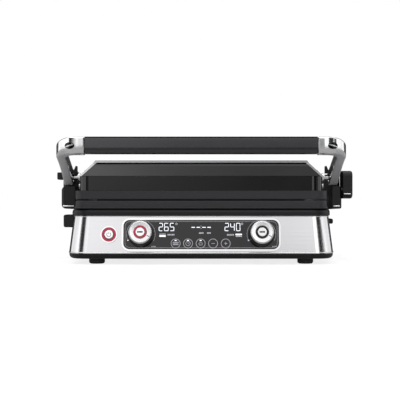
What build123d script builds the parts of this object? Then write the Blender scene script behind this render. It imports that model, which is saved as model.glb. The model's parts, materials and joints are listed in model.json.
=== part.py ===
"""Panini press: tapered base, two ribbed plates, floating lid and a handle frame on a rear hinge.

Frame: +X right, front faces -Y, +Z up, origin under the middle of the object's box. Millimetres.
"""
from build123d import *
import math
import os

# ---- driving dimensions ----
BASE_FRONT = -140.0          # front wall at its foot
BASE_REAR = 157.0
BASE_HALF = 175.3            # half width of the steel wrap at its foot
WRAP_LOW = 14.4
WRAP_TOP = 63.5
FRONT_LEAN = 9.5             # how far the front wall leans back over its height
SIDE_LEAN = 5.5
REAR_LEAN = 6.0
CORNER = 26.0
SHEET = 1.2
PAN_LOW = 7.2
FRAME_TOP = 72.8
FRAME_HALF = 171.6

PLATE_HALF = 166.3
PLATE_FRONT = -131.0
PLATE_REAR = 126.0
PLATE_CORNER = 14.0
LOWER_PLATE = (73.0, 83.5)
UPPER_PLATE = (84.5, 96.3)
RIB_DEPTH = 2.2
RIB_PITCH = 11.0
LEDGE_HALF = 150.0           # rear ledge of the lower plate, which closes the gap between the plates

LID_HALF = 160.8
LID_FRONT = -127.0
LID_REAR = 126.0
HOUSING = (96.5, 115.3)
COVER_LOW = 115.6
LID_TOP = 137.5
COVER_TOP_HALF = 143.0
COVER_SHEET = 3.0
FASCIA_TOP = (-94.0, 133.5)  # y, z of the fascia's upper edge

HINGE_Y = 146.0
HINGE_Z = 84.0
PIN_R = 5.0
RUN = 0.05                   # radial running clearance

BOSS_Y = -56.0               # suspension pin of the lid
BOSS_Z = 116.0
BOSS_R = 11.5
LID_PIN_R = 3.3
LID_TRAVEL = 13.0

HANDLE_FRONT = -162.0
HANDLE_BACK = -142.5
HANDLE_LOW = 143.0
HANDLE_TOP = 165.2
GRIP_HALF = 150.0
ARM_IN = 177.5
ARM_OUT = 189.5
BAR_IN = 184.5
COVER_REAR_R = 16.0
OUTER_HALF = 209.5           # lever and slider both reach this far out

PANEL_Z = 38.8               # middle of the control panel
PANEL_W = 203.0
PANEL_H = 38.7
KNOB_X = 78.6
KNOB_UP = 0.5
KNOB_OUT = 19.5
POWER_X = -120.3

TRAY_HALF = 58.0
TRAY_LONG = 158.7            # half length of the tray, which reaches the right wall
TRAY_SHIFT = 8.6
TRAY_LOW = 43.0
TRAY_TOP = 60.0
SIDE_SLOT = (41.0, 61.4)     # height range of the drip tray's opening

os.makedirs("parts", exist_ok=True)


# ---- helpers ----
def block(x0, x1, y0, y1, z0, z1):
    """Box between two corners."""
    size = Box(x1 - x0, y1 - y0, z1 - z0, align=(Align.MIN, Align.MIN, Align.MIN))
    return Pos(x0, y0, z0) * size


def rod_x(x0, x1, y, z, radius):
    """Cylinder along X."""
    disc = Plane(origin=(x0, y, z), z_dir=(1, 0, 0)) * Circle(radius)
    return extrude(disc, amount=x1 - x0)


def side_face(points):
    """Closed outline given as (y, z) points."""
    return make_face(Polyline(*points, close=True))


def side_prism(face, x0, x1):
    """Side outline pushed along X."""
    return extrude(Plane.YZ.offset(x0) * face, amount=x1 - x0)


def disc_at(y, z, radius):
    return Pos(y, z) * Circle(radius)


def slab(half, y0, y1, z0, z1, corner):
    """Rounded plate seen from above."""
    outline = Pos(0, (y0 + y1) / 2, z0) * RectangleRounded(2 * half, y1 - y0, corner)
    return extrude(outline, amount=z1 - z0)


def taper(low, high, inset=0.0):
    """Ruled solid between two rounded rectangles given as (half, y0, y1, z, corner)."""
    faces = []
    for half, y0, y1, z, corner in (low, high):
        shape = RectangleRounded(2 * (half - inset), y1 - y0 - 2 * inset, corner - inset)
        faces.append(Pos(0, (y0 + y1) / 2, z) * shape)
    return loft(faces, ruled=True)


def both(shape):
    """A shape and its mirror image in the middle plane."""
    return [shape, mirror(shape, about=Plane.YZ)]


def spring(plane, radius, wire, turns, length):
    """Helical compression spring standing on a plane."""
    line = Helix(pitch=length / turns, height=length, radius=radius)
    start = Plane(origin=line @ 0, z_dir=line % 0)
    return plane * sweep(start * Circle(wire), path=line)


def front_y(z):
    """Y of the front wall's outer face at a height."""
    share = (z - WRAP_LOW) / (WRAP_TOP - WRAP_LOW)
    return BASE_FRONT + FRONT_LEAN * share


LEAN = math.atan2(FRONT_LEAN, WRAP_TOP - WRAP_LOW)
FACE = Plane(
    origin=(0, front_y(PANEL_Z), PANEL_Z),
    x_dir=(1, 0, 0),
    z_dir=(0, -math.cos(LEAN), math.sin(LEAN)),
)


def on_face(x, up, out=0.0):
    """A plane parallel to the control panel, out in front of it."""
    return FACE * Pos(x, up, out)


def post(x, up, out0, out1, radius):
    """Round post square to the control panel."""
    rod = Cylinder(radius, out1 - out0, align=(Align.CENTER, Align.CENTER, Align.MIN))
    return on_face(x, up, out0) * rod


def pad(x, up, width, height, out0, out1, corner):
    """Rounded plate parallel to the control panel."""
    return on_face(x, up, out0) * extrude(RectangleRounded(width, height, corner), amount=out1 - out0)


WRAP_FOOT = (BASE_HALF, BASE_FRONT, BASE_REAR, WRAP_LOW, CORNER)
WRAP_HEAD = (BASE_HALF - SIDE_LEAN, BASE_FRONT + FRONT_LEAN, BASE_REAR - REAR_LEAN, WRAP_TOP, CORNER - 2)
WRAP_END = 138.0             # the steel wrap stops here and the rear panel begins

RELEASE = dict(y0=-104.0, y1=-78.0, z0=47.4, z1=64.4)
RELEASE_GAP = 0.5


def release_hole():
    g = RELEASE_GAP
    return block(-200, -150, RELEASE["y0"] - g, RELEASE["y1"] + g, RELEASE["z0"] - g, RELEASE["z1"] + g)


# ---- base ----
def base_wrap():
    shell = taper(WRAP_FOOT, WRAP_HEAD) - taper(WRAP_FOOT, WRAP_HEAD, SHEET)
    shell -= block(-200, 200, WRAP_END, 200, 0, 100)
    shell -= pad(0, 0, PANEL_W + 4.6, PANEL_H + 4.6, -6, 6, 10.3)
    shell -= post(POWER_X, 0, -6, 6, 11.0)
    shell -= release_hole()
    slot_low, slot_top = SIDE_SLOT
    return shell - block(150, 200, -TRAY_HALF - 2, TRAY_HALF + 2, slot_low, slot_top)


def rear_panel():
    shell = taper(WRAP_FOOT, WRAP_HEAD) - taper(WRAP_FOOT, WRAP_HEAD, 3.0)
    panel = shell - block(-200, 200, -200, WRAP_END + 0.2, 0, 100)
    for column in range(-6, 7):
        panel -= block(column * 12 - 1.5, column * 12 + 1.5, 145, 165, 36, 54)
    return panel - Pos(110, 150, 27) * Rot(90, 0, 0) * Cylinder(7.5, 30)


def cord_inlet():
    """Bush where the supply lead would enter."""
    collar = Cylinder(10, 3) + Pos(0, 0, -5) * Cylinder(7.4, 8)
    bush = collar - Cylinder(3.6, 40)
    return Pos(110, 159.0, 27) * Rot(-90, 0, 0) * bush


def top_frame():
    ring = slab(FRAME_HALF, BASE_FRONT + 8, 152, WRAP_TOP + 0.1, FRAME_TOP, CORNER - 1)
    ring = fillet(ring.edges().group_by(Axis.Z)[-1], 5.0)
    ring -= slab(152, -118, 114, 60, 80, 12)
    return ring - release_hole()


def bottom_pan():
    half = BASE_HALF - 0.6
    pan = slab(half, BASE_FRONT + 0.6, BASE_REAR - 0.6, PAN_LOW, WRAP_LOW - 0.1, CORNER - 0.6)
    pan = fillet(pan.edges().group_by(Axis.Z)[0], 5.5)
    pan -= slab(half - 6, BASE_FRONT + 6.6, BASE_REAR - 6.6, PAN_LOW + 2.6, WRAP_LOW + 1, CORNER - 6.6)
    for x in range(-5, 6):
        pan -= block(x * 18 - 2, x * 18 + 2, -40, 40, 0, 12)
    for x, y in pan_screw_places():
        pan -= Pos(x, y, PAN_LOW) * Cylinder(1.52, 20)
    return pan


FOOT_X = 138.0
FOOT_YS = (-116.0, 130.0)


def feet():
    foot = Cylinder(10.5, PAN_LOW, align=(Align.CENTER, Align.CENTER, Align.MIN))
    foot = fillet(foot.edges().group_by(Axis.Z)[0], 2.8)
    return [solid for y in FOOT_YS for solid in both(Pos(FOOT_X, y, 0) * foot)]


def pan_screw_places():
    return [(x, y) for x in (-150, -60, 60, 150) for y in (-95, 110)]


def pan_screws():
    heads = []
    for x, y in pan_screw_places():
        head = Cylinder(3.2, 1.6) - Pos(0, 0, -0.6) * Box(0.9, 4.4, 1.0)
        shank = Pos(0, 0, 3.8) * Cylinder(1.5, 6)
        heads.append(Pos(x, y, PAN_LOW - 0.8) * (head + shank))
    return heads


def control_bezel():
    outer = pad(0, 0, PANEL_W + 4.4, PANEL_H + 4.4, -SHEET, 0.9, 10.2)
    return outer - pad(0, 0, PANEL_W, PANEL_H, -3, 3, 8)


def control_glass():
    glass = pad(0, 0, PANEL_W - 0.2, PANEL_H - 0.2, -2.0, 0.5, 7.9)
    for x in (-KNOB_X, KNOB_X):
        glass -= post(x, KNOB_UP, -4, 4, 5.2)
    return glass


def display_module():
    return pad(0, 8, 118, 17, -9.0, -2.4, 1.5)


def control_board():
    board = pad(0, 0, 264, 36, -13.6, -12.0, 2)
    for column in range(-3, 4):
        board += pad(column * 13, -9, 7, 5, -12.0, -9.8, 0.6)
    return board


def encoder(x):
    body = pad(x, KNOB_UP, 15, 15, -11.9, -5.0, 1)
    body += post(x, KNOB_UP, -5.0, 12.0, 4.0)
    return body - post(x, KNOB_UP, -9.0, 14.0, 2.6)


def knob_skirt(x):
    plane = on_face(x, KNOB_UP, 1.1)
    bore = 4.0 + RUN
    outline = [(bore, 0), (17.0, 0), (16.2, 11.6), (15.2, 11.6), (15.2, 3.4), (9, 3.4), (9, 9.0), (bore, 9.0)]
    ring = revolve(Plane.XZ * make_face(Polyline(*outline, close=True)), Axis.Z)
    return plane * ring


def knob_face(x):
    plane = on_face(x, KNOB_UP, 1.1)
    high = KNOB_OUT - 1.1
    outline = [(9.05, 3.5), (15.1, 3.5), (15.1, high - 1.0), (14.1, high), (8.1, high)]
    outline += [(8.1, 11.0), (9.05, 11.0)]
    ring = revolve(Plane.XZ * make_face(Polyline(*outline, close=True)), Axis.Z)
    return plane * ring


def knob_ring(x):
    return post(x, KNOB_UP, KNOB_OUT - 3.8, KNOB_OUT + 0.1, 8.05) - post(x, KNOB_UP, 12, 30, 6.2)


def knob_button(x):
    cap = post(x, KNOB_UP, KNOB_OUT - 1.8, KNOB_OUT + 0.4, 5.9)
    cap = fillet(cap.edges().group_by(Axis(FACE.origin, FACE.z_dir))[-1], 0.7)
    return cap + post(x, KNOB_UP, -6.5, KNOB_OUT - 1.7, 2.3)


def power_bezel():
    return post(POWER_X, 0, -SHEET, 1.5, 10.95) - post(POWER_X, 0, -3, 3, 9.5)


def power_light_ring():
    return post(POWER_X, 0, -2.2, 0.7, 9.4) - post(POWER_X, 0, -4, 3, 6.5)


def power_button():
    cap = post(POWER_X, 0, -2.0, 2.3, 6.1)
    cap = fillet(cap.edges().group_by(Axis(FACE.origin, FACE.z_dir))[-1], 1.2)
    return cap + post(POWER_X, 0, -4.5, -1.9, 2.4)


def power_switch():
    return pad(POWER_X, 0, 12, 12, -11.9, -6.5, 1)


def power_spring():
    return spring(on_face(POWER_X, 0, -6.0), 3.6, 0.3, 3, 3.5)


def power_board():
    board = block(-70, 70, 112, 113.6, 18, 56)
    for column in range(-2, 3):
        board += block(column * 26 - 8, column * 26 + 8, 113.6, 127, 28, 44)
    return board


def release_button():
    r = RELEASE
    cap = block(-184.6, -160, r["y0"], r["y1"], r["z0"], r["z1"])
    cap = fillet(cap.faces().sort_by(Axis.X)[0].edges(), 3.0)
    return cap + rod_x(-160, -148, -91, 55.9, 4)


def release_bracket():
    web = block(-143, -139, -103, -79, 30, 66)
    return web + block(-143, -130, -103, -79, 27, 30)


def release_spring():
    plane = Plane(origin=(-159.3, -91, 55.9), z_dir=(1, 0, 0))
    return spring(plane, 6.0, 0.6, 5, 15.5)


def hinge_tower():
    face = side_face([(134, FRAME_TOP), (152, FRAME_TOP), (158, 80), (158, HINGE_Z), (134, HINGE_Z)])
    tower = side_prism(face + disc_at(HINGE_Y, HINGE_Z, 11.1), 150, 166)
    return tower - rod_x(140, 200, HINGE_Y, HINGE_Z, PIN_R + 0.02)


def hinge_pin():
    pin = rod_x(147, 191.5, HINGE_Y, HINGE_Z, PIN_R)
    return pin + rod_x(145, 149.6, HINGE_Y, HINGE_Z, 8)


def tray_front():
    slot_low, slot_top = SIDE_SLOT
    shell = taper(WRAP_FOOT, WRAP_HEAD) - taper(WRAP_FOOT, WRAP_HEAD, 2.6)
    front = shell & block(150, 200, -TRAY_HALF - 1.5, TRAY_HALF + 1.5, slot_low + 0.5, slot_top - 0.5)
    grip = block(168.2, 188.4, -24, 24, 50.2, 57.4)
    grip = fillet(grip.faces().sort_by(Axis.X)[-1].edges(), 2.4)
    return front + grip


def drip_tray():
    tray = slab(TRAY_LONG, -TRAY_HALF, TRAY_HALF, TRAY_LOW, TRAY_TOP, 8)
    tray -= slab(TRAY_LONG - 1.2, -TRAY_HALF + 1.2, TRAY_HALF - 1.2, TRAY_LOW + 1.2, 80, 6.8)
    return Pos(TRAY_SHIFT, 0, 0) * tray


def tray_rails():
    rail = block(-150, 165, 58.6, 61.0, 38.0, 60.0) + block(-150, 165, 50, 61.0, 38.0, 40.0)
    return [rail, mirror(rail, about=Plane.XZ)]


# ---- plates and heaters ----
def ribs(z0, z1):
    """Trapezoid ribs running front to back."""
    count = int((PLATE_HALF - 14) / RIB_PITCH)
    outline = make_face(Polyline((-2.6, z0), (2.6, z0), (1.5, z1), (-1.5, z1), close=True))
    for column in range(-count, count + 1):
        rib = Plane.XZ.offset(-(PLATE_REAR - 12)) * Pos(column * RIB_PITCH, 0) * outline
        yield extrude(rib, amount=PLATE_REAR - PLATE_FRONT - 24)


def lower_plate():
    low, high = LOWER_PLATE
    plate = slab(PLATE_HALF, PLATE_FRONT, PLATE_REAR, low, high, PLATE_CORNER)
    plate = fillet(plate.edges().group_by(Axis.Z)[-1], 1.6)
    plate += slab(PLATE_HALF + 0.9, PLATE_FRONT - 0.9, PLATE_REAR, low, low + 2.4, PLATE_CORNER)
    plate -= slab(PLATE_HALF - 9, PLATE_FRONT + 9, PLATE_REAR - 9, high - RIB_DEPTH, 100, 8)
    for rib in ribs(high - RIB_DEPTH - 0.1, high - 0.2):
        plate += rib
    plate -= slab(142, PLATE_FRONT + 20, PLATE_REAR - 20, 0, low + 5, 10)
    plate += block(-LEDGE_HALF, LEDGE_HALF, PLATE_REAR - 5, PLATE_REAR - 2, high - 0.5, high + 1.1)
    return plate - block(144.5, 149.0, -16, 16, 60, 100)


def upper_plate():
    low, high = UPPER_PLATE
    plate = slab(PLATE_HALF, PLATE_FRONT, PLATE_REAR, low, high, PLATE_CORNER)
    plate = fillet(plate.edges().group_by(Axis.Z)[0], 1.6)
    plate -= slab(PLATE_HALF - 9, PLATE_FRONT + 9, PLATE_REAR - 9, 0, low + RIB_DEPTH, 8)
    for rib in ribs(low + RIB_DEPTH + 0.1, low + 0.2):
        plate += rib
    groove = block(-LEDGE_HALF - 1, LEDGE_HALF + 1, PLATE_REAR - 6, PLATE_REAR + 1, low - 1, low + 1.0)
    return plate - groove - slab(142, PLATE_FRONT + 20, PLATE_REAR - 20, high - 5, 120, 10)


def heater(z):
    """Tubular element bent into three loops."""
    points = [(-60, 96), (-60, 64), (-120, 64), (-120, -90), (-45, -90), (-45, 40), (45, 40)]
    points += [(45, -90), (120, -90), (120, 64), (60, 64), (60, 96)]
    line = FilletPolyline(*[(x, y, z) for x, y in points], radius=16)
    start = Plane(origin=line @ 0, z_dir=line % 0)
    return sweep(start * Circle(3.2), path=line)


def reflector(z, height):
    tray = slab(138, PLATE_FRONT + 26, PLATE_REAR - 26, z, z + height, 10)
    return tray - slab(137.2, PLATE_FRONT + 26.8, PLATE_REAR - 26.8, z + 0.8, z + height + 5, 9.2)


# ---- lid ----
def cover_outline(inset):
    low = COVER_LOW
    run = COVER_TOP_HALF - inset * 0.55
    wide = LID_HALF - inset * 1.25
    top = LID_TOP - inset
    return make_face(Polyline((-wide, low), (-run, top), (run, top), (wide, low), close=True))


def along_y(face, y0, y1):
    """An (x, z) outline pushed along Y."""
    return extrude(Plane.XZ.offset(-y1) * face, amount=y1 - y0)


def lid_cover():
    arch = along_y(cover_outline(0), LID_FRONT, LID_REAR)
    top_y, top_z = FASCIA_TOP
    ahead = LID_FRONT - 30
    front = side_face([(ahead, COVER_LOW - 5), (LID_FRONT - 9.2, COVER_LOW - 5), (LID_FRONT, COVER_LOW),
                       (top_y, top_z), (top_y, 150), (ahead, 150)])
    arch -= side_prism(front, -200, 200)
    rear = side_face([(LID_REAR + 1, COVER_LOW), (LID_REAR - 14, LID_TOP + 1), (LID_REAR + 20, LID_TOP + 1),
                      (LID_REAR + 20, COVER_LOW)])
    arch -= side_prism(rear, -200, 200)
    arch -= along_y(cover_outline(COVER_SHEET), LID_FRONT - 40, LID_REAR - 17)
    return arch


def lid_fascia():
    top_y, top_z = FASCIA_TOP
    foot = COVER_LOW + 0.1
    head = top_z - 0.2
    face = side_face([(LID_FRONT + 0.8, foot), (top_y + 0.4, head), (top_y + 7, head), (LID_FRONT + 8, foot)])
    return side_prism(face, -200, 200) & along_y(cover_outline(COVER_SHEET + 0.2), LID_FRONT, 0)


def lid_housing():
    low, high = HOUSING
    body = slab(LID_HALF, LID_FRONT, LID_REAR, low, high, 15)
    return body - slab(LID_HALF - 3, LID_FRONT + 3, LID_REAR - 3, low - 1, high - 3, 12)


def lid_bracket():
    low, high = 97.5, 125.5
    plate = side_face([(BOSS_Y - 22, low), (BOSS_Y - 22, 108), (BOSS_Y - 9, high), (BOSS_Y + 9, high),
                       (BOSS_Y + 22, 108), (BOSS_Y + 22, low)])
    bracket = side_prism(plate, LID_HALF + 0.1, LID_HALF + 4.6)
    slot = rod_x(150, 170, BOSS_Y, BOSS_Z, LID_PIN_R + RUN)
    slot += rod_x(150, 170, BOSS_Y, BOSS_Z - LID_TRAVEL, LID_PIN_R + RUN)
    wide = LID_PIN_R + RUN
    slot += block(150, 170, BOSS_Y - wide, BOSS_Y + wide, BOSS_Z - LID_TRAVEL, BOSS_Z)
    return bracket - slot


def bracket_screws():
    screws = []
    for dy in (-16, 16):
        head = rod_x(LID_HALF + 4.7, LID_HALF + 6.6, BOSS_Y + dy, 103, 3.4)
        screws += both(head - block(LID_HALF + 6, 200, BOSS_Y + dy - 0.5, BOSS_Y + dy + 0.5, 95, 110))
    return screws


# ---- arms and handle ----
def handle_grip():
    outline = side_face([(HANDLE_FRONT, 149.6), (HANDLE_FRONT + 0.8, HANDLE_TOP), (HANDLE_BACK, HANDLE_TOP - 3),
                         (HANDLE_BACK, HANDLE_LOW), (HANDLE_FRONT + 5, HANDLE_LOW)])
    outline = fillet(outline.vertices(), 2.4)
    grip = side_prism(outline, -GRIP_HALF, GRIP_HALF)
    return grip - block(-200, 200, -157.1, -146.9, 148.9, 160.1)


def handle_core():
    core = block(-163, 163, -157, -147, 149, 160)
    return core - block(-200, 200, -155, -149, 151, 158)


def arm_casting():
    """Right-hand casting: rounded corner at the grip, arm, boss, and the bar inside the hinge cover."""
    top = (BOSS_Y + 1, BOSS_Z + BOSS_R)
    low = (BOSS_Y - 6, BOSS_Z - BOSS_R + 1.6)
    lines = Polyline((-148, 142.8), (-157, HANDLE_LOW), (HANDLE_FRONT, 149.6), (HANDLE_FRONT + 0.8, 163),
                     (-158.6, HANDLE_TOP), (-129, 154.6), top, low)
    side = make_face(lines + ThreePointArc(low, (-108, 130.2), (-148, 142.8)))
    corner = Pos(0, HANDLE_FRONT + 150) * RectangleRounded(2 * ARM_OUT, 300, 32)
    corner -= Pos(0, HANDLE_BACK + 150) * RectangleRounded(2 * ARM_IN, 300, 15)
    plan = extrude(Pos(0, 0, 90) * corner, amount=100)
    arm = plan & side_prism(side, GRIP_HALF + 0.3, 200)
    arm += rod_x(ARM_IN, ARM_OUT, BOSS_Y, BOSS_Z, BOSS_R)
    arm -= rod_x(100, 186.5, BOSS_Y, BOSS_Z, LID_PIN_R + 0.02)
    arm -= block(100, 163.3, -157.1, -146.9, 148.9, 160.1)
    arm -= screw_shape(0.15)
    bar = side_prism(bar_face(), BAR_IN, ARM_OUT)
    bar -= rod_x(100, 200, HINGE_Y, HINGE_Z, 7.02)
    return arm + (bar - rod_x(100, 186.5, BOSS_Y, BOSS_Z, LID_PIN_R + 0.02))


def bar_face():
    face = side_face([(BOSS_Y, 122), (HINGE_Y, 94), (HINGE_Y, 74), (BOSS_Y, 108)])
    return face + disc_at(HINGE_Y, HINGE_Z, 12)


SCREW_TURN = 25.0            # the screw points out of the rounded corner
SCREW_Z = 153.6


def screw_shape(gap):
    centre_x = ARM_OUT - 32
    centre_y = HANDLE_FRONT + 32
    angle = math.radians(SCREW_TURN)
    out = (math.sin(angle), -math.cos(angle), 0)
    origin = (centre_x + out[0] * 28, centre_y + out[1] * 28, SCREW_Z)
    head = Cylinder(4.6 + gap, 8, align=(Align.CENTER, Align.CENTER, Align.MIN))
    return Plane(origin=origin, z_dir=out) * head


def arm_screws():
    angle = math.radians(SCREW_TURN)
    out = (math.sin(angle), -math.cos(angle), 0)
    reach = 31.3
    ball = Pos(ARM_OUT - 32, HANDLE_FRONT + 32, SCREW_Z) * Cylinder(reach, 30)
    head = screw_shape(0) & ball
    tip = (ARM_OUT - 32 + out[0] * reach, HANDLE_FRONT + 32 + out[1] * reach, SCREW_Z)
    slot = Plane(origin=tip, z_dir=out) * Rot(0, 0, 25) * Box(1.3, 14, 2.4)
    return both(head - slot)


def cover_face(inset):
    """Side outline of the hinge cover."""
    face = side_face([(-60, 72), (-60, 103), (-43.3, 103), (-41.3, 126.4), (HINGE_Y, HINGE_Z + COVER_REAR_R),
                      (HINGE_Y, HINGE_Z - COVER_REAR_R)])
    face += disc_at(HINGE_Y, HINGE_Z, COVER_REAR_R)
    if inset:
        face = offset(face, amount=-inset, kind=Kind.INTERSECTION)
    return face


def arm_cover(inner, outer, soft, wall):
    """Hollow cover round the bar, for the right-hand side; its outer edge is rounded by soft."""
    cover = side_prism(cover_face(0), inner, outer)
    cover = fillet(cover.faces().sort_by(Axis.X)[-1].edges(), soft)
    cover -= side_prism(cover_face(wall), inner + 1.8, outer - wall)
    cover -= rod_x(150, inner + 4, HINGE_Y, HINGE_Z, 7.6)
    mouth = side_face([(-70, 104), (-30, 104), (-30, 122), (-70, 122)])
    return cover - side_prism(mouth, BAR_IN - 0.4, ARM_OUT + 0.4)


LEFT_COVER = (175.0, 194.3)
RIGHT_COVER = (182.2, 195.0)
LEVER = dict(y0=-66.0, y1=-34.0, z0=86.0, z1=124.4)
LEVER_PIVOT = (-46.0, 98.0)
SLIDER = dict(y0=3.0, y1=25.0, z0=113.6, z1=124.2)
SLIDE_TRAVEL = 12.0


def arm_cover_left():
    cover = mirror(arm_cover(*LEFT_COVER, soft=7.0, wall=2.7), about=Plane.YZ)
    return cover - block(-200, -191, 7, 21 + SLIDE_TRAVEL, 107.7, 110.3)


def arm_cover_right():
    y, z = LEVER_PIVOT
    return arm_cover(*RIGHT_COVER, soft=3.0, wall=2.2) - rod_x(191, 200, y, z, 3.02)


def height_slider():
    s = SLIDER
    knob = block(-OUTER_HALF, -LEFT_COVER[1] - 0.5, s["y0"], s["y1"], s["z0"], s["z1"])
    knob = fillet(knob.faces().sort_by(Axis.X)[0].edges(), 2.0)
    neck = block(-LEFT_COVER[1] - 3, -LEFT_COVER[1] - 0.5, 8, 20, 107, 116)
    return knob + neck + block(-LEFT_COVER[1] - 0.6, -191.4, 8, 20, 108, 110)


def release_lever():
    v = LEVER
    y, z = LEVER_PIVOT
    lever = block(RIGHT_COVER[1] + 1.2, OUTER_HALF, v["y0"], v["y1"], v["z0"], v["z1"])
    lever = fillet(lever.edges().filter_by(Axis.X), 7.0)
    lever = fillet(lever.faces().sort_by(Axis.X)[-1].edges(), 3.0)
    return lever - rod_x(150, 206, y, z, 3.0 + RUN)


def lever_pivot():
    y, z = LEVER_PIVOT
    return rod_x(192.9, 205.5, y, z, 3.0)


def hinge_bush():
    sleeve = rod_x(BAR_IN - 1.5, ARM_OUT + 0.4, HINGE_Y, HINGE_Z, 7.0)
    return sleeve - rod_x(150, 200, HINGE_Y, HINGE_Z, PIN_R + RUN)


def lid_pin():
    pin = rod_x(LID_HALF + 0.6, 186.3, BOSS_Y, BOSS_Z, LID_PIN_R)
    collar = rod_x(LID_HALF + 7.2, LID_HALF + 9.4, BOSS_Y, BOSS_Z, LID_PIN_R + 2)
    return pin + collar


# ---- write every node ----
def save(name, shape):
    solids = shape if isinstance(shape, list) else [shape]
    pieces = [piece for solid in solids for piece in solid.solids()]
    export_step(pieces[0] if len(pieces) == 1 else Compound(pieces), f"parts/{name}.step")


def save_pair(name, right):
    save(name + "_right", right)
    save(name + "_left", mirror(right, about=Plane.YZ))


SINGLES = {
    "base_wrap": base_wrap,
    "rear_panel": rear_panel,
    "cord_inlet": cord_inlet,
    "top_frame": top_frame,
    "bottom_pan": bottom_pan,
    "pan_screws": pan_screws,
    "control_bezel": control_bezel,
    "control_glass": control_glass,
    "display_module": display_module,
    "control_board": control_board,
    "power_bezel": power_bezel,
    "power_light_ring": power_light_ring,
    "power_button": power_button,
    "power_switch": power_switch,
    "power_spring": power_spring,
    "power_board": power_board,
    "release_button": release_button,
    "release_bracket": release_bracket,
    "release_spring": release_spring,
    "drip_tray": drip_tray,
    "tray_front": tray_front,
    "tray_rails": tray_rails,
    "lower_plate": lower_plate,
    "upper_plate": upper_plate,
    "lid_cover": lid_cover,
    "lid_fascia": lid_fascia,
    "lid_housing": lid_housing,
    "bracket_screws": bracket_screws,
    "handle_grip": handle_grip,
    "handle_core": handle_core,
    "arm_screws": arm_screws,
    "arm_cover_left": arm_cover_left,
    "arm_cover_right": arm_cover_right,
    "height_slider": height_slider,
    "release_lever": release_lever,
    "lever_pivot": lever_pivot,
}

for node, build in SINGLES.items():
    save(node, build())

save_pair("arm_casting", arm_casting())
save_pair("hinge_tower", hinge_tower())
save_pair("lid_bracket", lid_bracket())
save("hinge_pins", both(hinge_pin()))
save("hinge_bushes", both(hinge_bush()))
save("lid_pins", both(lid_pin()))

for side, x in (("left", -KNOB_X), ("right", KNOB_X)):
    save(f"encoder_{side}", encoder(x))
    save(f"knob_skirt_{side}", knob_skirt(x))
    save(f"knob_face_{side}", knob_face(x))
    save(f"knob_ring_{side}", knob_ring(x))
    save(f"knob_button_{side}", knob_button(x))

save("feet", feet())
save("heater_lower", heater(66.2))
save("heater_upper", heater(101.6))
save("reflector_lower", reflector(61.6, 7.0))
save("reflector_upper", reflector(105.6, 6.0))
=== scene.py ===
"""Looks of the panini press: studio, materials and the fine pieces that the CAD frame doesn't carry."""
import json
import math

import bmesh
import bpy
from mathutils import Matrix, Vector


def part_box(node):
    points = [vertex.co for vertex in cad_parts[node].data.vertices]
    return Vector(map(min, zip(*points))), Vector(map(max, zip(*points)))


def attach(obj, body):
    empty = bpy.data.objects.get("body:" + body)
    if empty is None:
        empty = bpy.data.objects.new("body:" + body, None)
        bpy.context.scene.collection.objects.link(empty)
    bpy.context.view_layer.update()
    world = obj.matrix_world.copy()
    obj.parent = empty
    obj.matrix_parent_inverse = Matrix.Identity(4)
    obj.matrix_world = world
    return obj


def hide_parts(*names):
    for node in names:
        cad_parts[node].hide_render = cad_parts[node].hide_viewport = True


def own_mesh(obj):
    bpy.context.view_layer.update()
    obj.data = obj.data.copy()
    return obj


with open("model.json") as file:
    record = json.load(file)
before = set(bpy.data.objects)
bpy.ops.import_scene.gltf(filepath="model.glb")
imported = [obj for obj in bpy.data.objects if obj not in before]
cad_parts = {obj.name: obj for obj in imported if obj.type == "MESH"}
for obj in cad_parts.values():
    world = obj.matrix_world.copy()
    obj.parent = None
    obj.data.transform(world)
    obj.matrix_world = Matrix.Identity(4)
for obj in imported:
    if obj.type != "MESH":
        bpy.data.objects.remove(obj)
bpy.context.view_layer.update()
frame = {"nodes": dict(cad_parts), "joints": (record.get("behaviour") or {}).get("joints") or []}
nodes = frame["nodes"]
joints = {joint["name"]: joint for joint in frame["joints"]}
MM = 0.001


# ---- node helpers ----
def new_material(name):
    material = bpy.data.materials.new(name)
    material.use_nodes = True
    tree = material.node_tree
    shader = tree.nodes["Principled BSDF"]
    return material, tree, shader


def add(tree, kind, **values):
    """A node with its inputs (by name) and attributes set."""
    node = tree.nodes.new(kind)
    for key, value in values.items():
        if key in node.inputs:
            node.inputs[key].default_value = value
        else:
            setattr(node, key, value)
    return node


def wire(tree, source, output, target, socket):
    tree.links.new(source.outputs[output], target.inputs[socket])


def object_position(tree, scale):
    """Object coordinates, stretched."""
    coordinates = add(tree, "ShaderNodeTexCoord")
    mapping = add(tree, "ShaderNodeMapping")
    mapping.inputs["Scale"].default_value = scale
    wire(tree, coordinates, "Object", mapping, "Vector")
    return mapping


def noise(tree, scale, detail=4.0, vector=None, rough=0.6):
    node = add(tree, "ShaderNodeTexNoise", Scale=scale, Detail=detail, Roughness=rough)
    source = vector or object_position(tree, (1, 1, 1))
    wire(tree, source, "Vector", node, "Vector")
    return node


def spread(tree, node, low, high):
    """Maps a 0 to 1 pattern to a range of values."""
    remap = add(tree, "ShaderNodeMapRange")
    remap.inputs["From Min"].default_value = 0.3
    remap.inputs["From Max"].default_value = 0.7
    remap.inputs["To Min"].default_value = low
    remap.inputs["To Max"].default_value = high
    wire(tree, node, "Fac", remap, "Value")
    return remap


def tint(tree, node, dark, light):
    """Maps a 0 to 1 pattern to a range of colours."""
    ramp = add(tree, "ShaderNodeValToRGB")
    ramp.color_ramp.elements[0].position = 0.32
    ramp.color_ramp.elements[1].position = 0.68
    ramp.color_ramp.elements[0].color = (*dark, 1)
    ramp.color_ramp.elements[1].color = (*light, 1)
    wire(tree, node, "Fac", ramp, "Fac")
    return ramp


def bump(tree, shader, node, strength, distance):
    bumps = add(tree, "ShaderNodeBump", Strength=strength, Distance=distance)
    wire(tree, node, "Fac", bumps, "Height")
    wire(tree, bumps, "Normal", shader, "Normal")


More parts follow.
